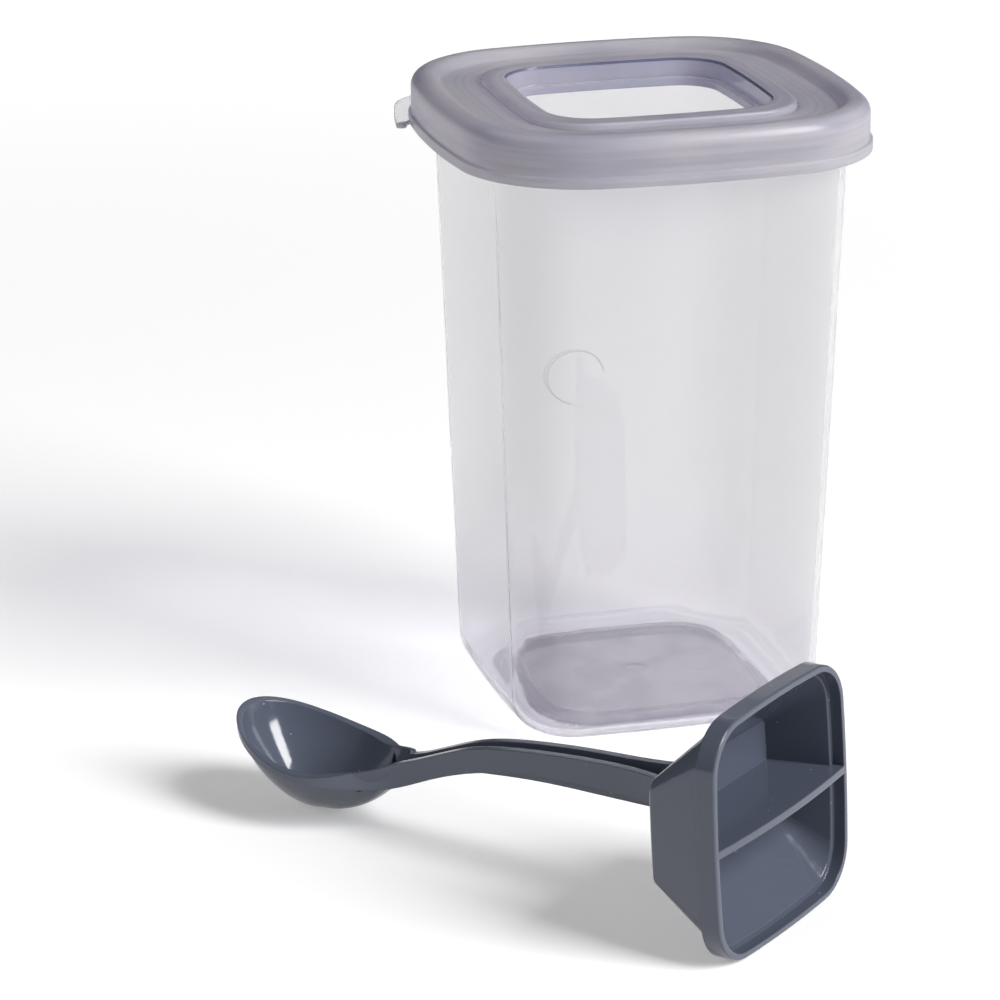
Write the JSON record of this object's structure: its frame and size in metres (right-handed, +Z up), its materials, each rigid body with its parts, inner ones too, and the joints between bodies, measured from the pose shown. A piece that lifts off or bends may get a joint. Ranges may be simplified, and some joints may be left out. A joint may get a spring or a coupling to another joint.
{
  "type": "food storage box with lid and stopper spoon",
  "caption": "Tall clear square jar with a frosted lid that has a square opening, and a spoon whose hollow stopper closes that opening.",
  "frame": {"origin": "on the floor that the box stands on, under the middle of the jar", "axes": "+Z up, -Y towards the jar's front face as pictured, +X to its right"},
  "size_m": [0.132, 0.1804, 0.1238],
  "materials": {
    "clear_plastic": "clear, glossy, slightly tinted",
    "frosted_plastic": "translucent, satin",
    "dark_plastic": "opaque, glossy slate"
  },
  "bodies": {
    "jar": {"jar": "clear_plastic"},
    "lid": {"lid": "frosted_plastic"},
    "spoon": {"spoon": "dark_plastic"}
  },
  "joints": [
    {"name": "lid_lift", "type": "slide", "parent": "jar", "child": "lid", "axis": [0, 0, 1], "range_m": [0, 0.08]},
    {"name": "spoon_lift", "type": "slide", "parent": "jar", "child": "spoon", "axis": [0, 0, 1], "range_m": [0, 0.12]}
  ]
}
